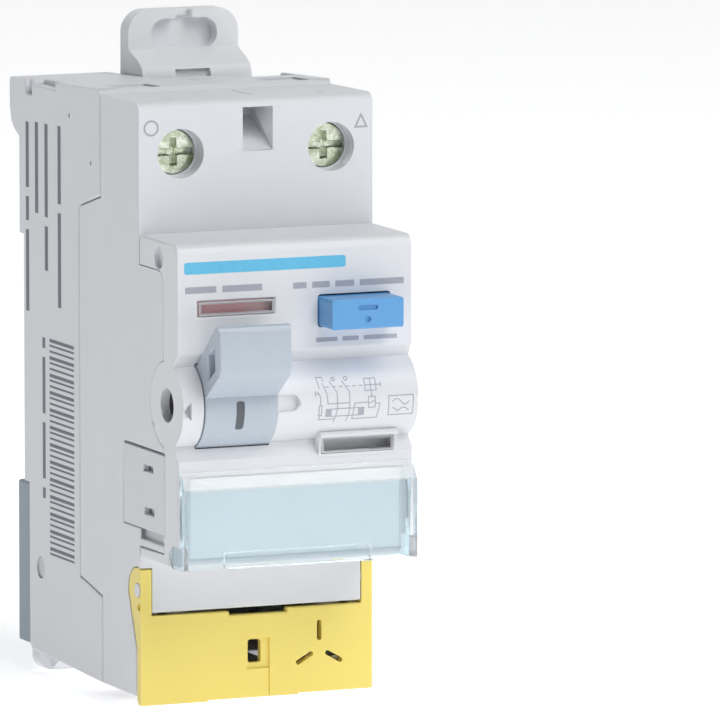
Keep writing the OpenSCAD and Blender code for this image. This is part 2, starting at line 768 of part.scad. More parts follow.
module terminal_cover() {
    cx = hw - 0.1;
    color([0.95, 0.88, 0.48])
    difference() {
        union() {
            block([-cx, cx], [sh - 0.1, sh + cover_t], [-43, -30.9]);
            cover_ear(-cx, -cx + 1.6);
            cover_ear(cx - 1.6, cx);
            // grip ridges and the lip under the body
            block([-cx, -7.4], [sh - 0.1, sh + 1], [-43.4, -42.9]);
            block([-7.4, 6.2], [sh - 0.1, sh + 1], [-43.2, -42.9]);
        }
        // relief in the upper edge
        block([-4.1, 4.5], [sh - 1, sh + 3], [-31.5, -30.8]);
        // latch hole in a shallow seat
        prism_y(sh - 1, sh + 3) round_rect([-1.25, -38.4], [0.7, -35.1], 0.4);
        block([-1.55, 1.9], [sh - 1, sh + 0.3], [-39.2, -34.9]);
        block([1.7, 1.9], [sh - 1, sh + 0.1], [-43.5, -39]);
        // pattern of slots: three bars fanned round a point
        for (a = [0, 120, 240]) translate([9.4, 0, -36.9]) rotate([0, a, 0])
            prism_y(sh - 1, sh + 3) round_rect([-0.35, 1.1], [0.35, 4], 0.34);
    }
}

// ---- terminals ----

// Terminal screw with a combined slot and cross in its head
module terminal_screw(x, z) {
    color([0.78, 0.79, 0.74])
    difference() {
        union() {
            rod_y(-41.2, -39.2, x, z, head_r);
            rod_y(-39.3, bar_y0 - 0.05, x, z, shank_r);
        }
        block([x - 4, x + 4], [-42, -40.3], [z - 0.45, z + 0.45]);
        block([x - 0.45, x + 0.45], [-42, -40.1], [z - 1.9, z + 1.9]);
    }
}

// Lift cage round the busbar, threaded on the screw
module cage(x, z) {
    color([0.80, 0.80, 0.76])
    difference() {
        block([x - 4.2, x + 4.2], [cage_y0, cage_y0 + cage_len], [z - 3.9, z + 3]);
        block([x - 3, x + 3], [cage_y0 + 2, cage_y0 + cage_len - 1.4], [z - 5, z + 5]);
        rod_y(cage_y0 - 1, cage_y0 + 3, x, z, shank_r + 0.08);
    }
}

module wire_flap(x) {
    color([0.82, 0.83, 0.86]) union() {
        prism_x(x - 2.8, x + 2.8)
            polygon([[-28.75, 40.9], [-28.75, 40], [-23.8, 39.6], [-23.3, 39.9], [-23.3, 40.5], [-23.8, 40.7]]);
        rod_x(x - 2.8, x + 2.8, flap_y, flap_z, 0.5);
    }
}

// ---- rail clips ----

module din_clip_upper() {
    color([0.90, 0.90, 0.91])
    difference() {
        union() {
            // standing tab with round upper corners
            prism_y(-3, 0) intersection() {
                round_rect([clip_x0, 36], [clip_x1, clip_top], 3.2);
                translate([clip_x0, 38]) square([clip_w, 20]);
            }
            // swollen base, tongue and hook behind the rail's edge
            prism_x(clip_x0, clip_x1) polygon([
                [0, 43.4], [-3, 43.4], [-6.2, 42.4], [-7.9, 41.4], [-8.6, 39.8], [-8.6, 35], [-5, 34],
                [-5, 18], [1.4, 18], [1.4, 15.3], [1.9, 14.8], [3.2, 16], [3.2, 20.6], [0, 21.5]
            ]);
            block([clip_x0 - 0.8, clip_x1 + 0.8], [-4, -2.6], [20, 32.5]);
            // ridge under the slot
            prism_x(0.4, 12.2) polygon([[-3, 43.4], [-3.6, 43.1], [-3.6, 42.6], [-3, 42]]);
        }
        // grip slot for a screwdriver
        prism_y(-4, -0.8) round_rect([0.9, 43.3], [11, 47.7], 2.1);
        block([4.9, 6.9], [-4, -1.6], [46, 50]);
        block([2.5, 7.8], [-9, -7.4], [38, 41]);
    }
}

module din_clip_lower() {
    color([0.53, 0.59, 0.64]) union() {
        difference() {
            block([-17, 17], [-1.7, 0.4], [-41, -17.9]);
            block([-14.05, -10.95], [-1.25, 0.05], [-41.5, -37.9]);
        }
        for (x = [-17, 15.2]) block([x, x + 1.8], [-1.7, 3.7], [-41, -17.9]);
        // hook behind the rail's lower edge
        prism_x(-9, 9) polygon([[0.3, -18], [1.4, -18], [1.4, -15.3], [1.9, -14.8], [3.2, -16], [3.2, -22], [0.3, -24]]);
        // guide in the rear shell
        block([-4, 4], [-6.4, -1.6], [-40.6, -33]);
        block([-6, 6], [-6.4, -5], [-40.6, -33]);
    }
}

module clip_release_tab() {
    color([0.90, 0.90, 0.91]) union() {
        prism_y(-1.9, 1) intersection() {
            round_rect([-16, -44.8], [-8.6, -38], 2);
            translate([-17, -45]) square([10, 3.95]);
        }
        prism_x(-14, -10) polygon([[-1.8, -42.6], [-5.5, -42.6], [-1.8, -44.6]]);
        block([-14, -11], [-1.2, 0], [-41.1, -38]);
    }
}

// ---- all nodes ----

housing_base();
housing_front();
nose_cover();
side_plates();
assembly_pins();
toggle();
toggle_spring();
drive_link();
mechanism_frame();
contact_carrier();
carrier_pin();
contact_arm(-pole_x);  // contact_arm_left
contact_arm(pole_x);  // contact_arm_right
contact_tips(-29.9, -28.75);  // moving_contact_tips
contact_tips(-28.65, -27.4);  // fixed_contact_tips
contact_springs();
busbar_top(-pole_x);  // busbar_top_left
busbar_top(pole_x);  // busbar_top_right
busbar_bottom(-pole_x);  // busbar_bottom_left
busbar_bottom(pole_x);  // busbar_bottom_right
primary_conductor(-1);  // primary_conductor_left
primary_conductor(1);  // primary_conductor_right
toroid_core();
toroid_case();
secondary_winding();
trip_relay();
relay_plunger();
trip_lever();
trip_lever_pin();
trip_flag();
trip_lens();
test_button();
test_spring();
test_blade();
test_resistor();
circuit_board();
board_components();
indicator_flag();
indicator_lens();
label_cover();
label_insert();
terminal_cover();
terminal_screw(-pole_x, term_top_z);  // terminal_screw_top_left
terminal_screw(pole_x, term_top_z);  // terminal_screw_top_right
terminal_screw(-pole_x, -term_low_z);  // terminal_screw_bottom_left
terminal_screw(pole_x, -term_low_z);  // terminal_screw_bottom_right
cage(-pole_x, term_top_z);  // cage_top_left
cage(pole_x, term_top_z);  // cage_top_right
cage(-pole_x, -term_low_z);  // cage_bottom_left
cage(pole_x, -term_low_z);  // cage_bottom_right
wire_flap(-pole_x);  // wire_flap_left
wire_flap(pole_x);  // wire_flap_right
din_clip_upper();
din_clip_lower();
clip_release_tab();
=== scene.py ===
"""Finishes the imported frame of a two-pole residual current device and sets it on a pale floor.

Lengths are metres and colours are linear. Each visible moulding is a copy of its CAD solid with
softened edges. The inner parts keep their CAD solids and get a material each.
"""

import json
import math

import bmesh
import bpy
from bpy.props import FloatProperty, FloatVectorProperty, IntProperty, PointerProperty
from mathutils import Matrix, Vector


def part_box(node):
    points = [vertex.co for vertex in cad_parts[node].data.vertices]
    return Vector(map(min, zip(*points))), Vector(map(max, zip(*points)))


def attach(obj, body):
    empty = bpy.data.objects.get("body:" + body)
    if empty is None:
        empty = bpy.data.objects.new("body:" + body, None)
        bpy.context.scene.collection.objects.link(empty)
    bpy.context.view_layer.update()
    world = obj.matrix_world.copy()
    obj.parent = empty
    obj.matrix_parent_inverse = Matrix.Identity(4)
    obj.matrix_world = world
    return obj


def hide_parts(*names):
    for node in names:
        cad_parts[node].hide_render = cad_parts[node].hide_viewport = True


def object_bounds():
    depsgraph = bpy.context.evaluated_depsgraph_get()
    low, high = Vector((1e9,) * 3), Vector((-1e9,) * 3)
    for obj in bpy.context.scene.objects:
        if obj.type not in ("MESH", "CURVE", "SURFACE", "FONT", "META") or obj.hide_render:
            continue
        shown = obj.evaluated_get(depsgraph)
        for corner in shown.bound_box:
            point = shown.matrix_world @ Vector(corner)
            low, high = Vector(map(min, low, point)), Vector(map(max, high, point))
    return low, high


bl_info = {
    "name": "Residual Current Device",
    "version": (1, 0, 0),
    "blender": (4, 5, 0),
    "location": "3D View > Sidebar > RCD",
    "description": "Builds the finishes, prints and stage of a two-pole residual current device",
    "category": "Object",
}

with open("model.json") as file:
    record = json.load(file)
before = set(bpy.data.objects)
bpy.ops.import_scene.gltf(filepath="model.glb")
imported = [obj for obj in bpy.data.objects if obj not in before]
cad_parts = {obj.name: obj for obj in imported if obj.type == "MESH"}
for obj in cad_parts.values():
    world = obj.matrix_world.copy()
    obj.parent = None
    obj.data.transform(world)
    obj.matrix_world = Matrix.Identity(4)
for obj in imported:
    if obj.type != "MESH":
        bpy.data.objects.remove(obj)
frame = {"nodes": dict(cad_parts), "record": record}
CAD_BOX = [list(corner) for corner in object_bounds()]
SLOTS = {part["node"]: part["material_slot"] for part in frame["record"]["subparts"]}
BODIES = {
    node: body for body, nodes in frame["record"]["behaviour"]["bodies"].items() for node in nodes
}

MM = 0.001
# toggle axis, and the radii of the barrel round it and of the toggle's drum
AXIS_Y = -54.2 * MM
BARREL = 6.03 * MM
DRUM = 6.3 * MM
# the toggle's axle end, seen through the hole in the cheek, lies left of this and gets painted
# shade
AXLE_END_X = -14.85 * MM
# label cover: inner side of its end walls, top of its bottom rail and foot of its slope
END_WALL_X = 16.4 * MM
RAIL_TOP_Z = -20.3 * MM
SLOPE_LOW_Z = -11.5 * MM
# flank that carries the side printing
SIDE_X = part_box("housing_base")[0].x
# point in millimetres that the camera looks at, the even room light's colour, and the floor's glow
CAMERA_TARGET = (18.29, -37.71, 2.38)
ROOM_COLOUR = (0.92, 0.97, 1, 1)
FLOOR_GLOW = 0.52


def linear(red, green, blue):
    """A linear colour from 8-bit display values."""

    def channel(value):
        value /= 255
        return value / 12.92 if value <= 0.04045 else ((value + 0.055) / 1.055) ** 2.4

    return tuple(channel(value) for value in (red, green, blue))


def edge(name, size, what):
    return FloatProperty(
        name=name, description=f"Edge rounding of {what}", default=size * MM, min=0.0, max=1 * MM,
        precision=5, subtype="DISTANCE", unit="LENGTH",
    )


def tint(name, rgb, what):
    return FloatVectorProperty(
        name=name, description=f"Colour of {what}", default=linear(*rgb), size=3, min=0.0, max=1.0,
        subtype="COLOR",
    )


class RCD_Edges(bpy.types.PropertyGroup):
    """How far the edges of each moulding are rounded."""

    housing: edge("Housing", 0.25, "the two housing shells")
    nose: edge("Nose", 0.3, "the nose cover")
    toggle: edge("Toggle", 0.35, "the toggle")
    button: edge("Button", 0.3, "the test button")
    label: edge("Label Cover", 0.18, "the clear label cover")
    terminal: edge("Terminal Cover", 0.22, "the terminal cover")
    clip: edge("Clips", 0.35, "the rail clips")
    small: edge("Small Parts", 0.12, "plates, lenses, flags and screws")


class RCD_Colours(bpy.types.PropertyGroup):
    """Base colours of the finishes."""

    body: tint("Body", (226, 228, 232), "the housing shells")
    nose: tint("Nose", (229, 231, 235), "the nose cover")
    toggle: tint("Toggle", (189, 199, 210), "the toggle")
    button: tint("Test Button", (100, 166, 224), "the test button")
    flag: tint("State Flag", (255, 190, 192), "the red half of the state flag")
    trip: tint("Trip Flag", (240, 241, 243), "the trip flag")
    cover: tint("Terminal Cover", (249, 228, 122), "the terminal cover")
    label: tint("Label Tint", (222, 242, 250), "the cast of the label cover's edges")
    upper_clip: tint("Upper Clip", (236, 237, 240), "the upper rail clip")
    lower_clip: tint("Lower Clip", (140, 156, 168), "the lower rail clip")
    stripe: tint("Stripe", (100, 190, 228), "the printed stripe")
    ink: tint("Front Ink", (168, 170, 181), "the printing on the front")
    side_ink: tint("Side Ink", (104, 106, 118), "the printing on the side")


class RCD_Print(bpy.types.PropertyGroup):
    """Sizes of the printing."""

    line: FloatProperty(
        name="Line Width", description="Width of the drawn lines", default=0.13 * MM,
        precision=5, subtype="DISTANCE", unit="LENGTH",
    )
    height: FloatProperty(
        name="Ink Height", description="How far the ink stands above the plastic",
        default=0.02 * MM, precision=5, subtype="DISTANCE", unit="LENGTH",
    )
    bars: IntProperty(
        name="Bars", description="Number of stripes in the block on the side", default=38,
        min=2, max=80,
    )


class RCD_Stage(bpy.types.PropertyGroup):
    """Camera, lights and floor."""

    azimuth: FloatProperty(
        name="Azimuth", description="Camera's turn to the left of the front",
        default=math.radians(23.03), subtype="ANGLE",
    )
    elevation: FloatProperty(
        name="Elevation", description="Camera's height above level", default=math.radians(7.61),
        subtype="ANGLE",
    )
    distance: FloatProperty(
        name="Distance", description="Camera's distance from its target", default=1.537,
        subtype="DISTANCE", unit="LENGTH",
    )
    lens: FloatProperty(
        name="Lens", description="Focal length in millimetres", default=549.4, min=1.0,
        subtype="DISTANCE_CAMERA",
    )
    key: FloatProperty(
        name="Key Light", description="Power of the key light", default=12.2, subtype="POWER"
    )
    fill: FloatProperty(
        name="Fill Light", description="Power of the fill light", default=0.03, subtype="POWER"
    )
    top: FloatProperty(
        name="Top Light", description="Power of the light overhead", default=2.4, subtype="POWER"
    )
    room: FloatProperty(
        name="Room Light", description="Strength of the even room light", default=0.07
    )
    floor: tint("Floor", (252, 252, 253), "the floor")


# ---- finishes ----


class Nodes:
    """A short hand for building one material's node tree."""

    def __init__(self, name):
        self.material = bpy.data.materials.new(name)
        self.material.use_nodes = True
        self.tree = self.material.node_tree
        self.shader = self.tree.nodes["Principled BSDF"]
        coordinates = self.add("ShaderNodeTexCoord")
        self.place = coordinates.outputs["Object"]

    def add(self, kind, **settings):
        node = self.tree.nodes.new(kind)
        for name, value in settings.items():
            setattr(node, name, value)
        return node

    def link(self, source, target):
        self.tree.links.new(source, target)

    def noise(self, size, detail=2.0, stretch=(1, 1, 1)):
        """Noise whose features are about size metres across, stretched along an axis."""
        mapping = self.add("ShaderNodeMapping")
        mapping.inputs["Scale"].default_value = [factor / size for factor in stretch]
        self.link(self.place, mapping.inputs["Vector"])
        noise = self.add("ShaderNodeTexNoise")
        noise.inputs["Scale"].default_value = 1.0
        noise.inputs["Detail"].default_value = detail
        self.link(mapping.outputs["Vector"], noise.inputs["Vector"])
        return noise.outputs["Fac"]

    def spread(self, source, low, high):
        """Maps noise to a range of numbers."""
        spread = self.add("ShaderNodeMapRange")
        spread.inputs["From Min"].default_value = 0.3
        spread.inputs["From Max"].default_value = 0.7
        spread.inputs["To Min"].default_value = low
        spread.inputs["To Max"].default_value = high
        self.link(source, spread.inputs["Value"])
        return spread.outputs["Result"]

    def blend(self, factor, first, second):
        """A colour between two colours, each a tuple or a socket."""
        mix = self.add("ShaderNodeMix", data_type="RGBA")
        self.link(factor, mix.inputs["Factor"])
        for socket, colour in ((mix.inputs[6], first), (mix.inputs[7], second)):
            if isinstance(colour, bpy.types.NodeSocket):
                self.link(colour, socket)
            else:
                socket.default_value = (*colour, 1)
        return mix.outputs[2]

    def relief(self, source, strength, depth):
        bump = self.add("ShaderNodeBump")
        bump.inputs["Strength"].default_value = strength
        bump.inputs["Distance"].default_value = depth
        self.link(source, bump.inputs["Height"])
        self.link(bump.outputs["Normal"], self.shader.inputs["Normal"])

    def set(self, **values):
        for name, value in values.items():
            self.shader.inputs[name.replace("_", " ")].default_value = value


def shade(colour, factor):
    return tuple(min(1.0, channel * factor) for channel in colour)


def moulded(name, colour, rough=0.42, grain=0.25 * MM, relief=0.12, mottle=0.02, opacity=1.0):
    """Injection-moulded plastic: faint clouding, a fine grain, and roughness to match it."""
    nodes = Nodes(name)
    clouds = nodes.noise(9 * MM, 3)
    fine = nodes.noise(grain, 2)
    base = nodes.blend(clouds, shade(colour, 1 - mottle), shade(colour, 1 + mottle))
    nodes.link(base, nodes.shader.inputs["Base Color"])
    nodes.link(nodes.spread(fine, rough - 0.05, rough + 0.05), nodes.shader.inputs["Roughness"])
    nodes.relief(fine, relief, 0.02 * MM)
    nodes.set(IOR=1.49, Alpha=opacity)
    return nodes.material


def metal(name, colour, rough=0.28, stretch=(1, 1, 1), grain=0.3 * MM, stain=0.08, stained=None):
    """Metal with brushed or rolled grain, and a stain of another colour in patches."""
    nodes = Nodes(name)
    patches = nodes.noise(1.6 * MM, 4)
    lines = nodes.noise(grain, 3, stretch)
    dull = stained or shade(colour, 1 - 2 * stain)
    base = nodes.blend(nodes.spread(patches, 0.0, 1.0), colour, dull)
    nodes.link(base, nodes.shader.inputs["Base Color"])
    nodes.link(nodes.spread(lines, rough - 0.08, rough + 0.1), nodes.shader.inputs["Roughness"])
    nodes.relief(lines, 0.15, 0.01 * MM)
    nodes.set(Metallic=1.0)
    return nodes.material


def clear(name, colour, rough=0.05, opacity=1.0):
    """Clear acrylic with a slight ripple."""
    nodes = Nodes(name)
    ripple = nodes.noise(4 * MM, 2)
    base = nodes.blend(ripple, shade(colour, 0.985), shade(colour, 1.01))
    nodes.link(base, nodes.shader.inputs["Base Color"])
    nodes.link(nodes.spread(ripple, rough * 0.7, rough * 1.3), nodes.shader.inputs["Roughness"])
    nodes.relief(ripple, 0.05, 0.02 * MM)
    nodes.set(IOR=1.49, Transmission_Weight=1.0, Alpha=opacity)
    return nodes.material


def printed(name, colour, rough=0.5):
    """Pad-printed ink, thinner in places."""
    nodes = Nodes(name)
    wear = nodes.noise(0.35 * MM, 3)
    base = nodes.blend(nodes.spread(wear, 0.0, 1.0), colour, shade(colour, 1.12))
    nodes.link(base, nodes.shader.inputs["Base Color"])
    nodes.link(nodes.spread(wear, rough - 0.05, rough + 0.05), nodes.shader.inputs["Roughness"])
    nodes.relief(wear, 0.1, 0.01 * MM)
    return nodes.material


def x_ramp_plastic(name, first, second, start, end, below=None, level=0.0, rough=0.4):
    """Moulded plastic that turns from one colour to another along X, over a third below a level."""
    nodes = Nodes(name)
    split = nodes.add("ShaderNodeSeparateXYZ")
    nodes.link(nodes.place, split.inputs["Vector"])
    ramp = nodes.add("ShaderNodeMapRange", interpolation_type="SMOOTHSTEP")
    ramp.inputs["From Min"].default_value = start
    ramp.inputs["From Max"].default_value = end
    nodes.link(split.outputs["X"], ramp.inputs["Value"])
    fine = nodes.noise(0.3 * MM, 2)
    base = nodes.blend(ramp.outputs["Result"], first, second)
    if below:
        above = nodes.add("ShaderNodeMath", operation="GREATER_THAN")
        above.inputs[1].default_value = level
        nodes.link(split.outputs["Z"], above.inputs[0])
        base = nodes.blend(above.outputs[0], below, base)
    nodes.link(base, nodes.shader.inputs["Base Color"])
    nodes.link(nodes.spread(fine, rough - 0.05, rough + 0.05), nodes.shader.inputs["Roughness"])
    nodes.relief(fine, 0.1, 0.02 * MM)
    return nodes.material


def wound(name, colour, pitch=0.5 * MM, axis="X"):
    """Enamelled copper wire laid side by side, with painted shade between the turns and painted
    highlight on them.
    """
    nodes = Nodes(name)
    wave = nodes.add("ShaderNodeTexWave", wave_type="BANDS", bands_direction=axis)
    wave.inputs["Scale"].default_value = 1 / (pitch * 20)
    wave.inputs["Distortion"].default_value = 0.6
    nodes.link(nodes.place, wave.inputs["Vector"])
    # dark bands are painted shade in the grooves between turns, light bands painted highlight on
    # their crowns
    base = nodes.blend(wave.outputs["Fac"], shade(colour, 0.55), shade(colour, 1.15))
    nodes.link(base, nodes.shader.inputs["Base Color"])
    nodes.link(nodes.spread(wave.outputs["Fac"], 0.4, 0.25), nodes.shader.inputs["Roughness"])
    nodes.relief(wave.outputs["Fac"], 0.6, 0.1 * MM)
    nodes.set(Metallic=0.8)
    return nodes.material


# ---- pieces ----


def piece(name, mesh, body, slot, *materials):
    """A finished piece at the origin that rides on a body."""
    thing = bpy.data.objects.new(name, mesh)
    bpy.context.scene.collection.objects.link(thing)
    for material in materials:
        mesh.materials.append(material)
    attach(thing, body)
    return thing


def nearest(point, line):
    """Distance from a point to a mesh edge."""
    a, b = (v.co for v in line.verts)
    along = b - a
    share = min(1.0, max(0.0, (point - a).dot(along) / along.length_squared))
    return (a + share * along - point).length


def room_to_bevel(bm, width):
    """The outer edges of a mesh that have room for a bevel of that width."""
    turn = {e: e.calc_face_angle(0.0) if e.is_manifold else 0.0 for e in bm.edges}
    corners = {e for e in bm.edges if turn[e] > math.radians(20)}

    def crowded(e):
        ends = set(e.verts)
        for v in ends:
            along = (e.other_vert(v).co - v.co).normalized()
            for other in v.link_edges:
                if other is e or other not in corners:
                    continue
                away = (other.other_vert(v).co - v.co).normalized()
                if away.dot(along) > -0.85 and other.calc_length() < 2.1 * width:
                    return True
        middle = (e.verts[0].co + e.verts[1].co) / 2
        for face in e.link_faces:
            for other in face.edges:
                if other not in corners or ends & set(other.verts):
                    continue
                spots = [nearest(spot, other) for spot in (e.verts[0].co, e.verts[1].co, middle)]
                spots += [nearest(v.co, e) for v in other.verts]
                if min(spots) < 2.1 * width:
                    return True
        stops = sum(sum(o in corners for o in v.link_edges) != 2 for v in ends)
        return stops > 0 and e.calc_length() < stops * 1.2 * width

    return [e for e in corners if e.is_convex and turn[e] > math.radians(28) and not crowded(e)]


def folded(bm):
    """Corners of the triangles that lie upside down where a face's outline crosses itself."""
    bm.normal_update()
    spots = []
    for loops in bm.calc_loop_triangles():
        a, b, c = (loop.vert.co for loop in loops)
        normal = (b - a).cross(c - a)
        if normal.dot(loops[0].face.normal) < -1e-12:
            spots += [a.copy(), b.copy(), c.copy()]
    return spots


def merged_copy(node):
    """A bmesh of a CAD node with its triangles joined into whole faces."""
    bm = bmesh.new()
    bm.from_mesh(frame["nodes"][node].data)
    bmesh.ops.remove_doubles(bm, verts=bm.verts, dist=2e-6)
    bmesh.ops.dissolve_limit(
        bm, angle_limit=math.radians(0.5), use_dissolve_boundaries=False,
        verts=bm.verts, edges=bm.edges, delimit={"NORMAL"},
    )
    return bm


def soften(bm, width, segments=2):
    """Rounds the outer edges. An edge whose rounding folds a face over stays square."""
    bm.edges.index_update()
    square = set()
    for _ in range(6):
        trial = bm.copy()
        trial.edges.ensure_lookup_table()
        chosen = [e for e in room_to_bevel(trial, width) if e.index not in square]
        lines = {e.index: [v.co.copy() for v in e.verts] for e in chosen}
        bmesh.ops.bevel(
            trial, geom=chosen, offset=width, offset_type="OFFSET", affect="EDGES",
            segments=segments, profile=0.5, material=-1, clamp_overlap=False,
        )
        spots = folded(trial)
        if not spots:
            return trial
        trial.free()
        reach = 1.6 * width
        bm.edges.ensure_lookup_table()
        square |= {i for i in lines if any(nearest(spot, bm.edges[i]) < reach for spot in spots)}
    return bm.copy()


def smooth(mesh, angle=30):
    mesh.shade_smooth()
    mesh.set_sharp_from_angle(angle=math.radians(angle))


def finished(node, width, *materials, segments=2, paint=None):
    """Replaces a CAD node by a copy with rounded edges. paint gives a face its material's index."""
    bm = merged_copy(node)
    soft = soften(bm, width, segments)
    bm.free()
    if paint:
        for face in soft.faces:
            face.material_index = paint(face)
    mesh = bpy.data.meshes.new(node + "_finished")
    soft.to_mesh(mesh)
    soft.free()
    smooth(mesh)
    thing = piece(node + "_finished", mesh, BODIES[node], SLOTS[node], *materials)
    weights = thing.modifiers.new("Even shading", "WEIGHTED_NORMAL")
    weights.keep_sharp = True
    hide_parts(node)
    return thing


def dress(material, *nodes):
    """Gives CAD nodes a better material."""
    for node in nodes:
        for slot in frame["nodes"][node].material_slots:
            slot.material = material


# ---- prints ----


def nose_front(z):
    """Y of the nose cover's front at a height."""
    if z >= 7.2 * MM:
        return (-58.0 + 0.1 * (z / MM - 7.2) / 13.9) * MM
    if z <= -7.4 * MM:
        return (-58.2 + 0.2 * (-7.4 - z / MM) / 14.3) * MM
    return AXIS_Y - math.sqrt(max(BARREL ** 2 - z * z, (2.3 * MM) ** 2))


def drum_front(z):
    """Y of the toggle drum's front at a height."""
    return AXIS_Y - math.sqrt(DRUM ** 2 - z * z)


def extruded(bm, line):
    """Extrudes one mesh edge in place, and returns its new corners and the new edge."""
    made = bmesh.ops.extrude_edge_only(bm, edges=[line])["geom"]
    ends = [part for part in made if isinstance(part, bmesh.types.BMVert)]
    sides = [part for part in made if isinstance(part, bmesh.types.BMEdge)]
    return ends, next(side for side in sides if all(v in ends for v in side.verts))


class Sheet:
    """Thin printing that starts flat in the X-Z plane and is laid on a surface at the end."""

    def __init__(self):
        self.bm = bmesh.new()
        self.strokes = 0

    def bar(self, x0, x1, z0, z1, cells=(1, 1)):
        """A filled rectangle, cut into cells so that it can bend."""
        made = bmesh.ops.create_grid(self.bm, x_segments=cells[0], y_segments=cells[1], size=0.5)
        place = Matrix.Translation(((x0 + x1) / 2 * MM, 0, (z0 + z1) / 2 * MM))
        turn = Matrix.Rotation(math.radians(90), 4, "X")
        size = Matrix.Diagonal(((x1 - x0) * MM, (z1 - z0) * MM, 1, 1))
        bmesh.ops.transform(self.bm, matrix=place @ turn @ size, verts=made["verts"])
        return made["verts"]

    def line(self, width, *points, closed=False):
        """One stroke with mitred corners, extruded from point to point across its width."""
        path = [Vector((x * MM, 0, z * MM)) for x, z in points]
        # long stretches are cut up so that they can bend
        fine = []
        for a, b in zip(path, path[1:] + path[:1] if closed else path[1:]):
            cuts = max(1, round((b - a).length / (0.5 * MM)))
            fine += [a.lerp(b, k / cuts) for k in range(cuts)]
        if not closed:
            fine.append(path[-1])
        count = len(fine)
        # strokes that cross lie at slightly different heights
        level = Vector((0, -0.002 * MM * (self.strokes % 5), 0))
        self.strokes += 1
        rungs = []
        for i, point in enumerate(fine):
            before = fine[i - 1] if i or closed else point
            after = fine[(i + 1) % count] if i < count - 1 or closed else point
            come = (point - before if point != before else after - point).normalized()
            leave = (after - point).normalized() if point != after else come
            mean = (come + leave).normalized()
            across = Vector((-mean.z, 0, mean.x)) * (width / 2 / max(0.5, mean.dot(leave)))
            rungs.append((point - across + level, point + across + level))
        first = [self.bm.verts.new(spot) for spot in rungs[0]]
        head = self.bm.edges.new(first)
        for rung in rungs[1:]:
            ends, head = extruded(self.bm, head)
            # each new corner goes with the old corner that it was drawn from
            for v in ends:
                mate = 0 if any(e.other_vert(v) == first[0] for e in v.link_edges) else 1
                v.co = rung[mate]
            first = sorted(ends, key=lambda v: (v.co - rung[0]).length)
        if closed:
            start = [self.bm.verts.new(spot) for spot in rungs[0]]
            self.bm.faces.new((first[0], start[0], start[1], first[1]))

    def frame(self, width, x0, x1, z0, z1):
        self.line(width, (x0, z0), (x1, z0), (x1, z1), (x0, z1), closed=True)

    def curve(self, width, path, steps):
        """A stroke along path(t), t from 0 to 1."""
        self.line(width, *[path(i / steps) for i in range(steps + 1)])

    def ring(self, width, x, z, radius):
        turns = [2 * math.pi * k / 20 for k in range(20)]
        points = [(x + radius * math.cos(t), z + radius * math.sin(t)) for t in turns]
        self.line(width, *points, closed=True)

    def pill(self, x0, x1, z0, z1, r):
        """A bar with corners of radius r."""
        verts = self.bar(x0, x1, z0, z1, (round((x1 - x0) / r), max(12, round((z1 - z0) / r * 4))))
        for v in verts:
            x, z = v.co.x / MM, v.co.z / MM
            deep = max(0.0, r - (z - z0), r - (z1 - z))
            reach = r - math.sqrt(max(0.0, r * r - deep * deep))
            if x < x0 + r:
                x = x0 + reach + (x - x0) * (r - reach) / r
            if x > x1 - r:
                x = x1 - reach - (x1 - x) * (r - reach) / r
            v.co.x = x * MM

    def lay(self, surface, height):
        """Thickens the print and lays it on surface(z), which gives Y."""
        bmesh.ops.remove_doubles(self.bm, verts=self.bm.verts, dist=1e-7)
        outer = set(self.bm.verts)
        bmesh.ops.solidify(self.bm, geom=self.bm.faces[:], thickness=2 * height)
        for v in self.bm.verts:
            level = v.co.y - height if v in outer else height
            v.co.y = surface(v.co.z) + level
        bmesh.ops.recalc_face_normals(self.bm, faces=self.bm.faces)

    def mesh(self, name):
        mesh = bpy.data.meshes.new(name)
        self.bm.to_mesh(mesh)
        self.bm.free()
        smooth(mesh, 40)
        return mesh


def words(sheet, x0, z0, z1, *lengths, space=0.8):
    """Plain bars in place of a line of text."""
    for length in lengths:
        sheet.bar(x0, x0 + length, z0, z1)
        x0 += length + space


# ---- operators ----


class RCD_OT_housing(bpy.types.Operator):
    """Finish both housing shells, the plates in their flanks and the pins"""

    bl_idname = "rcd.housing"
    bl_label = "Housing"

    def execute(self, context):
        edges, colours = context.scene.rcd_edges, context.scene.rcd_colours
        shell = moulded("Body plastic", colours.body)
        finished("housing_base", edges.housing, shell)
        finished("housing_front", edges.housing, shell)
        plates = moulded("Flank plate plastic", shade(colours.body, 0.97), rough=0.46)
        finished("side_plates", edges.small, plates)
        # the pin heads are the body colour at 0.86: painted shade for the inside of their recesses
        finished("assembly_pins", edges.small, moulded("Pin heads painted shade", shade(colours.body, 0.86)))
        flaps = moulded("Flap plastic", shade(colours.body, 0.98))
        dress(flaps, "wire_flap_left", "wire_flap_right")
        return {"FINISHED"}


class RCD_OT_nose(bpy.types.Operator):
    """Finish the nose cover"""

    bl_idname = "rcd.nose"
    bl_label = "Nose Cover"

    def execute(self, context):
        colours = context.scene.rcd_colours
        plastic = moulded("Nose plastic", colours.nose, rough=0.38)
        finished("nose_cover", context.scene.rcd_edges.nose, plastic)
        return {"FINISHED"}


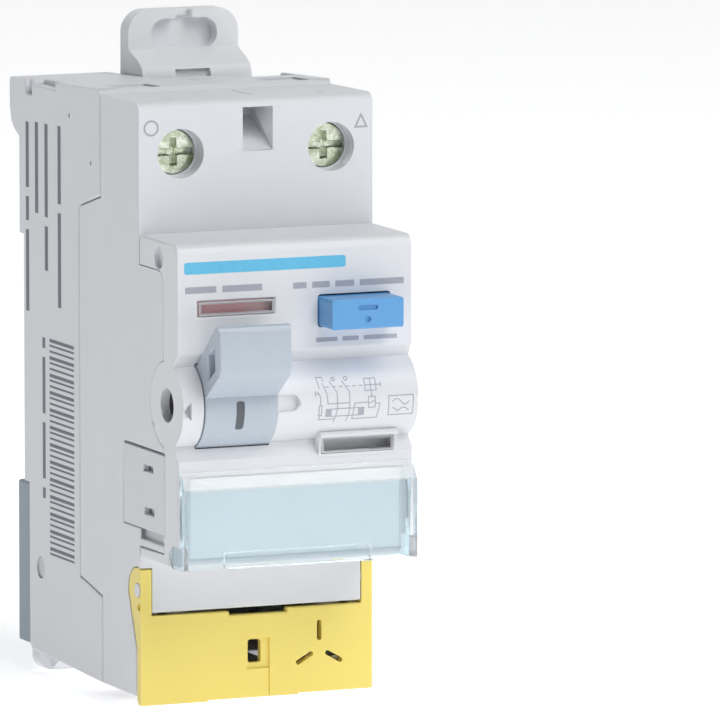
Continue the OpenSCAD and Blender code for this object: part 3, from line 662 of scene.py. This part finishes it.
class RCD_OT_toggle(bpy.types.Operator):
    """Finish the toggle and print the bar on its drum"""

    bl_idname = "rcd.toggle"
    bl_label = "Toggle"

    def execute(self, context):
        scene = context.scene
        satin = moulded(
            "Toggle plastic", scene.rcd_colours.toggle, rough=0.3, grain=0.2 * MM, relief=0.06
        )
        # the near-black on the axle's left end is painted shade standing in for the shade inside
        # the hole in the cheek
        axle_painted_shade = moulded("Axle end painted shade", linear(24, 25, 28), rough=0.5)
        finished("toggle", scene.rcd_edges.toggle, satin, axle_painted_shade, segments=3, paint=self.axle)
        mark = Sheet()
        mark.pill(-9.75, -8.55, -3.1, 0.9, 0.35)
        mark.lay(drum_front, scene.rcd_print.height)
        ink = printed("Drum ink", linear(92, 96, 104))
        piece("drum_mark", mark.mesh("drum_mark"), "toggle", "black_plastic", ink)
        return {"FINISHED"}

    @staticmethod
    def axle(face):
        """The axle's left end, seen through the hole in the cheek, is painted near-black: painted
        shade for the shaded hole.
        """
        return 1 if face.calc_center_median().x < AXLE_END_X else 0


class RCD_OT_button(bpy.types.Operator):
    """Finish the test button"""

    bl_idname = "rcd.button"
    bl_label = "Test Button"

    def execute(self, context):
        scene = context.scene
        satin = moulded(
            "Button plastic", scene.rcd_colours.button, rough=0.32, grain=0.2 * MM, relief=0.06
        )
        finished("test_button", scene.rcd_edges.button, satin)
        return {"FINISHED"}


class RCD_OT_windows(bpy.types.Operator):
    """Finish the state flag, the trip flag and their clear windows"""

    bl_idname = "rcd.windows"
    bl_label = "State Windows"
    # name, Y of the pane's front and the border's x0, x1, z0, z1, in millimetres
    BORDERS = (
        ("state_window_border", -57.98, (-14.1, -3.3, 12.78, 14.32)),
        ("trip_window_border", -58.38, (3.98, 14.22, -7.12, -5.48)),
    )

    def execute(self, context):
        edges, colours = context.scene.rcd_edges, context.scene.rcd_colours
        # the window shows the lower half of the flag, which is green, when the toggle is off
        red = x_ramp_plastic(
            "Flag red and green", colours.flag, linear(252, 214, 212), -9 * MM, -3.5 * MM,
            below=linear(96, 176, 112), level=11.2 * MM,
        )
        finished("indicator_flag", edges.small, red)
        pane = clear("Window acrylic", linear(252, 252, 253), opacity=0.45)
        finished("indicator_lens", edges.small, pane)
        # the trip flag darkens to 0.8 of its colour from X 8 to 15 mm: painted shade towards the
        # window's right edge
        grey = x_ramp_plastic("Trip flag with painted shade", colours.trip, shade(colours.trip, 0.8), 8 * MM, 15 * MM)
        finished("trip_flag", edges.small, grey)
        trip_pane = clear("Trip window acrylic", linear(248, 249, 250), opacity=0.45)
        finished("trip_lens", edges.small, trip_pane)
        # a thin grey line drawn round each window's edge
        border_grey = moulded("Window border", linear(214, 214, 218), rough=0.3)
        for name, front, outline in self.BORDERS:
            border = Sheet()
            border.frame(0.32 * MM, *outline)
            border.lay(lambda z, y=front: y * MM, context.scene.rcd_print.height)
            piece(name, border.mesh(name), "body", "clear", border_grey)
        return {"FINISHED"}


class RCD_OT_label(bpy.types.Operator):
    """Finish the clear label cover and the card behind it"""

    bl_idname = "rcd.label"
    bl_label = "Label Cover"

    def execute(self, context):
        scene = context.scene
        front = clear("Label cover acrylic", linear(250, 254, 255), rough=0.04, opacity=0.3)
        # the top slope's near-white colour is a painted reflection of the bright room, partly
        # see-through so light still reaches the card
        slope = moulded(
            "Label slope painted reflection", linear(252, 254, 255), rough=0.2, relief=0.02, mottle=0.004,
            opacity=0.38,
        )
        rim = clear("Label cover rim", scene.rcd_colours.label, rough=0.06, opacity=0.85)
        finished("label_cover", scene.rcd_edges.label, front, rim, slope, paint=self.part)
        card = moulded("Label card", linear(246, 250, 252), rough=0.6, grain=0.15 * MM, relief=0.1)
        dress(card, "label_insert")
        return {"FINISHED"}

    @staticmethod
    def part(face):
        """End walls and bottom rail are tinted, the top slope is painted near-white as a painted
        reflection and the front is clear.
        """
        middle = face.calc_center_median()
        if abs(middle.x) > END_WALL_X or middle.z < RAIL_TOP_Z:
            return 1
        faces_up_and_out = face.normal.z > 0.4 and face.normal.y < -0.3
        return 2 if faces_up_and_out and middle.z > SLOPE_LOW_Z else 0


class RCD_OT_terminal_cover(bpy.types.Operator):
    """Finish the yellow cover over the lower terminals"""

    bl_idname = "rcd.terminal_cover"
    bl_label = "Terminal Cover"

    def execute(self, context):
        scene = context.scene
        yellow = moulded("Cover plastic", scene.rcd_colours.cover, rough=0.36)
        finished("terminal_cover", scene.rcd_edges.terminal, yellow)
        return {"FINISHED"}


class RCD_OT_terminals(bpy.types.Operator):
    """Finish the terminal screws, cages and copper bars"""

    bl_idname = "rcd.terminals"
    bl_label = "Terminals"

    def execute(self, context):
        small = context.scene.rcd_edges.small
        zinc = metal(
            "Zinc plated steel", linear(226, 230, 218), rough=0.22, stained=linear(150, 166, 128)
        )
        for level in ("top", "bottom"):
            for side in ("left", "right"):
                finished(f"terminal_screw_{level}_{side}", small, zinc)
                dress(zinc, f"cage_{level}_{side}")
        copper = metal("Rolled copper", linear(214, 148, 108), rough=0.3, stretch=(1, 1, 0.08))
        dress(
            copper, "busbar_top_left", "busbar_top_right", "busbar_bottom_left",
            "busbar_bottom_right", "contact_arm_left", "contact_arm_right",
        )
        return {"FINISHED"}


class RCD_OT_clips(bpy.types.Operator):
    """Finish the rail clips and the release tab"""

    bl_idname = "rcd.clips"
    bl_label = "Rail Clips"

    def execute(self, context):
        edges, colours = context.scene.rcd_edges, context.scene.rcd_colours
        upper = moulded("Upper clip plastic", colours.upper_clip, rough=0.4)
        finished("din_clip_upper", edges.clip, upper)
        lower = moulded("Lower clip plastic", colours.lower_clip, rough=0.4)
        finished("din_clip_lower", edges.clip, lower)
        tab = moulded("Tab plastic", colours.upper_clip, rough=0.4)
        finished("clip_release_tab", edges.small, tab)
        return {"FINISHED"}


class RCD_OT_mechanism(bpy.types.Operator):
    """Give the parts inside the housing their materials"""

    bl_idname = "rcd.mechanism"
    bl_label = "Mechanism"

    def execute(self, context):
        coats = (
            (metal("Bright steel", linear(206, 208, 210), stretch=(0.1, 1, 1)),
             "mechanism_frame", "drive_link"),
            (metal("Turned steel", linear(214, 215, 216), rough=0.2),
             "carrier_pin", "trip_lever_pin"),
            (metal("Spring wire", linear(196, 196, 190), rough=0.24),
             "toggle_spring", "contact_springs", "test_spring"),
            (metal("Contact silver", linear(232, 232, 230), rough=0.35),
             "moving_contact_tips", "fixed_contact_tips"),
            (metal("Brass", linear(222, 190, 116), rough=0.26), "relay_plunger", "test_blade"),
            (moulded("Carrier plastic", linear(50, 52, 56), rough=0.5),
             "contact_carrier", "toroid_case"),
            (moulded("Relay plastic", linear(84, 86, 90), rough=0.5), "trip_relay"),
            (moulded("Lever plastic", linear(230, 226, 212), rough=0.5), "trip_lever"),
            (moulded("Sintered core", linear(88, 90, 94), rough=0.7, grain=0.15 * MM, relief=0.4),
             "toroid_core"),
            (wound("Ring winding", linear(184, 104, 60), axis="Z"), "secondary_winding"),
            (wound("Stranded lead", linear(206, 132, 92), pitch=0.4 * MM),
             "primary_conductor_left", "primary_conductor_right"),
            (moulded("Board laminate", linear(40, 120, 72), rough=0.3, grain=0.4 * MM, mottle=0.08),
             "circuit_board"),
            (moulded("Component plastic", linear(52, 56, 72), rough=0.35), "board_components"),
            (moulded("Resistor body", linear(206, 190, 156), rough=0.6), "test_resistor"),
        )
        for coat, *nodes in coats:
            dress(coat, *nodes)
        return {"FINISHED"}


class RCD_OT_front_print(bpy.types.Operator):
    """Print the stripe, the wiring sketch and the plain marks on the front"""

    bl_idname = "rcd.front_print"
    bl_label = "Front Printing"

    def execute(self, context):
        scene = context.scene
        height, line = scene.rcd_print.height, scene.rcd_print.line
        stripe = Sheet()
        stripe.pill(-16.45, 7.55, 18.4, 20.05, 0.35)
        stripe.lay(nose_front, height)
        blue = printed("Stripe ink", scene.rcd_colours.stripe)
        piece("front_stripe", stripe.mesh("front_stripe"), "body", "button_blue", blue)

        ink = printed("Front ink", scene.rcd_colours.ink)
        text = Sheet()
        words(text, -16.3, 15.75, 16.65, 4.6, 5.9, space=0.9)
        words(text, -0.3, 15.7, 16.55, 2.0, 2.6, 2.8, 6.6, space=0.85)
        words(text, 3.1, 8.15, 8.75, 3.2, 2.4, 5.0, space=0.75)
        text.lay(nose_front, height)
        piece("front_bars", text.mesh("front_bars"), "body", "flag_grey", ink)

        sketch = Sheet()
        self.wiring(sketch, line)
        self.wave(sketch, line)
        sketch.lay(nose_front, height)
        piece("wiring_sketch", sketch.mesh("wiring_sketch"), "body", "flag_grey", ink)

        marks = Sheet()
        marks.ring(0.26 * MM, -15.65, 37.1, 1.0)
        marks.line(0.26 * MM, (14.9, 36.0), (16.6, 36.0), (15.75, 37.7), closed=True)
        marks.lay(lambda z: -44.0 * MM, height)
        piece("terminal_marks", marks.mesh("terminal_marks"), "body", "flag_grey", ink)
        return {"FINISHED"}

    @staticmethod
    def wiring(sketch, line):
        """A generic sketch of two poles, a ring transformer, a relay and a test loop."""
        for x, foot in ((4.35, 5.0), (6.2, 6.85)):
            sketch.line(line, (x, 2.85), (x + 1, 1.3), (x + 1, -1.3), (foot, -2.85))
            sketch.ring(line, x + 0.65, 3.1, 0.24)
        sketch.line(line, (3.25, 2.65), (3.8, 1.3), (3.95, -0.2), (7.2, -0.2))
        for k in range(6):
            sketch.line(line, (3.7 + k * 1.0, 2.08), (4.25 + k * 1.0, 2.08))
        sketch.frame(line, 9.55, 11.2, 1.35, 2.95)
        sketch.line(line, (10.4, 1.35), (10.4, 2.95))
        sketch.line(line, (9.55, 2.1), (11.9, 2.1))
        sketch.line(line, (11.9, 1.8), (11.9, 2.4))
        sketch.line(line, (10.5, 1.35), (10.5, 0.5))
        sketch.frame(line, 10.0, 11.0, -1.0, 0.5)
        sketch.line(line, (10.0, -0.45), (11.0, -0.05))
        sketch.line(
            line, (10.0, -0.25), (7.95, -0.3), (7.7, -2.5), (11.35, -2.5), (11.7, -0.5),
            (11.0, -0.45),
        )
        sketch.line(line, (4.4, -0.95), (8.6, -0.95))
        sketch.line(line, (4.4, -2.0), (8.6, -2.0))
        for x in (3.65, 8.5):
            sketch.bar(x, x + 0.9, -2.05, -0.9, (1, 4))
        sketch.line(line, (2.75, 1.9), (2.5, 3.4), (3.35, 3.4), (3.5, 2.85))
        sketch.line(line, (2.45, 1.55), (2.85, 0.8), (2.85, -0.45))
        sketch.frame(line, 2.65, 3.05, -1.8, -0.45)
        sketch.line(line, (2.85, -1.8), (2.7, -2.4), (5.0, -2.4))
        sketch.line(line, (2.1, 0.9), (2.1, 1.6))
        sketch.line(line, (2.1, 1.25), (2.6, 1.25))

    @staticmethod
    def wave(sketch, line):
        """A frame with a full wave over a row of half waves."""

        def full(t):
            return 13.6 + 2.5 * t, -0.4 + 0.42 * math.sin(2 * math.pi * t)

        def halves(t):
            return 13.6 + 2.5 * t, -1.75 + 0.5 * abs(math.cos(1.5 * math.pi * t))

        sketch.frame(line, 13.05, 16.7, -2.25, 0.45)
        sketch.curve(line, full, 20)
        sketch.curve(line, halves, 24)


class RCD_OT_side_print(bpy.types.Operator):
    """Print the stripes and plain bars on the left flank"""

    bl_idname = "rcd.side_print"
    bl_label = "Side Printing"

    def execute(self, context):
        scene = context.scene
        height, count = scene.rcd_print.height, scene.rcd_print.bars
        side = Sheet()
        pitch = (3.9 + 27.4) / count
        for k in range(count):
            thick = pitch * (0.36 + 0.22 * (k % 3 == 0))
            z = 3.9 - k * pitch
            side.bar(-19.4, -10.1, z - thick, z)
        rows = (
            (-14.6, 1.9, 34.4, (11.0, 13.4)),
            (-9.6, 1.9, 34.2, (13.2, 6.3)),
            (-5.9, 1.9, 34.1, (12.9,)),
            (-2.3, 1.9, 33.8, (9.3, 3.4, 11.6)),
            (-8.4, 1.7, 3.8, (1.5, 8.0, 8.0, 1.5)),
        )
        for y, depth, z, lengths in rows:
            for length in lengths:
                side.bar(y, y + depth * 0.6, z - length, z)
                z -= length + 1.3
        side.lay(lambda z: 0.0, height)
        # the sheet is drawn with Y along its X, so it is turned onto the flank
        turn = Matrix(((0, 1, 0, SIDE_X), (1, 0, 0, 0), (0, 0, 1, 0), (0, 0, 0, 1)))
        bmesh.ops.transform(side.bm, matrix=turn, verts=side.bm.verts)
        bmesh.ops.recalc_face_normals(side.bm, faces=side.bm.faces)
        ink = printed("Side ink", scene.rcd_colours.side_ink)
        piece("side_bars", side.mesh("side_bars"), "body", "flag_grey", ink)
        return {"FINISHED"}


class RCD_OT_stage(bpy.types.Operator):
    """Set the floor, the lights and the camera"""

    bl_idname = "rcd.stage"
    bl_label = "Stage"

    def execute(self, context):
        scene = context.scene
        setup = scene.rcd_stage
        self.floor(scene, setup)
        self.world(scene, setup)
        for name, place, size, power in (
            ("key_light", (0.3, -0.95, 1.0), 1.0, setup.key),
            ("fill_light", (-0.9, -0.7, 0.35), 0.8, setup.fill),
            ("top_light", (0.05, 0.1, 1.2), 0.9, setup.top),
        ):
            self.lamp(scene, name, place, size, power)
        self.camera(scene, setup)
        scene.view_settings.view_transform = "Standard"
        return {"FINISHED"}

    @staticmethod
    def floor(scene, setup):
        """A pale floor that curves up far behind the device."""
        level = CAD_BOX[0][2] - 0.2 * MM
        bm = bmesh.new()
        start = bm.verts.new((-4, -4, level))
        end = bm.verts.new((4, -4, level))
        head = bm.edges.new((start, end))
        bend = [math.radians(a) for a in range(5, 90, 10)]
        shifts = [(0, 6.0, 0)]
        shifts += [(0, 0.25 * math.cos(a), 0.25 * math.sin(a)) for a in bend]
        shifts += [(0, 0, 4.0)]
        for shift in shifts:
            ends, head = extruded(bm, head)
            bmesh.ops.translate(bm, vec=Vector(shift), verts=ends)
        bmesh.ops.recalc_face_normals(bm, faces=bm.faces)
        mesh = bpy.data.meshes.new("floor")
        bm.to_mesh(mesh)
        bm.free()
        smooth(mesh, 40)
        floor = bpy.data.objects.new("floor", mesh)
        scene.collection.objects.link(floor)
        paper = moulded(
            "Floor paper", setup.floor, rough=0.9, grain=0.8 * MM, relief=0.02, mottle=0.003
        )
        shader = paper.node_tree.nodes["Principled BSDF"]
        shader.inputs["Emission Color"].default_value = (1, 1, 1, 1)
        shader.inputs["Emission Strength"].default_value = FLOOR_GLOW
        mesh.materials.append(paper)

    @staticmethod
    def world(scene, setup):
        world = bpy.data.worlds.new("Studio")
        world.use_nodes = True
        background = world.node_tree.nodes["Background"]
        background.inputs["Color"].default_value = ROOM_COLOUR
        background.inputs["Strength"].default_value = setup.room
        scene.world = world

    @staticmethod
    def lamp(scene, name, place, size, power):
        light = bpy.data.lights.new(name, "AREA")
        light.size = size
        light.energy = power
        lamp = bpy.data.objects.new(name, light)
        scene.collection.objects.link(lamp)
        aim = Vector((0, -0.03, 0)) - Vector(place)
        turn = aim.to_track_quat("-Z", "Y").to_matrix().to_4x4()
        lamp.matrix_world = Matrix.Translation(place) @ turn

    @staticmethod
    def camera(scene, setup):
        a, e = setup.azimuth, setup.elevation
        look = Vector((math.sin(a) * math.cos(e), math.cos(a) * math.cos(e), -math.sin(e)))
        target = Vector(CAMERA_TARGET) * MM
        data = bpy.data.cameras.new("camera")
        data.lens = setup.lens
        data.sensor_width = 36.0
        data.clip_end = 20.0
        camera = bpy.data.objects.new("camera", data)
        scene.collection.objects.link(camera)
        camera.location = target - look * setup.distance
        camera.rotation_euler = (math.pi / 2 - e, 0, -a)
        scene.camera = camera


STEPS = (
    RCD_OT_housing, RCD_OT_nose, RCD_OT_toggle, RCD_OT_button, RCD_OT_windows, RCD_OT_label,
    RCD_OT_terminal_cover, RCD_OT_terminals, RCD_OT_clips, RCD_OT_mechanism, RCD_OT_front_print,
    RCD_OT_side_print, RCD_OT_stage,
)


class RCD_PT_panel(bpy.types.Panel):
    """Sizes, colours and building steps of the device"""

    bl_idname = "RCD_PT_panel"
    bl_label = "Residual Current Device"
    bl_space_type = "VIEW_3D"
    bl_region_type = "UI"
    bl_category = "RCD"

    def draw(self, context):
        for name in GROUPS:
            box = self.layout.box()
            group = getattr(context.scene, name)
            for prop in group.__annotations__:
                box.prop(group, prop)
        for step in STEPS:
            self.layout.operator(step.bl_idname)


GROUPS = {
    "rcd_edges": RCD_Edges, "rcd_colours": RCD_Colours, "rcd_print": RCD_Print,
    "rcd_stage": RCD_Stage,
}
CLASSES = (*GROUPS.values(), *STEPS, RCD_PT_panel)


def register():
    for cls in CLASSES:
        bpy.utils.register_class(cls)
    for name, group in GROUPS.items():
        setattr(bpy.types.Scene, name, PointerProperty(type=group))


def unregister():
    for name in GROUPS:
        delattr(bpy.types.Scene, name)
    for cls in reversed(CLASSES):
        bpy.utils.unregister_class(cls)


def main():
    register()
    for step in STEPS:
        family, name = step.bl_idname.split(".")
        getattr(getattr(bpy.ops, family), name)()


if __name__ == "__main__":
    main()
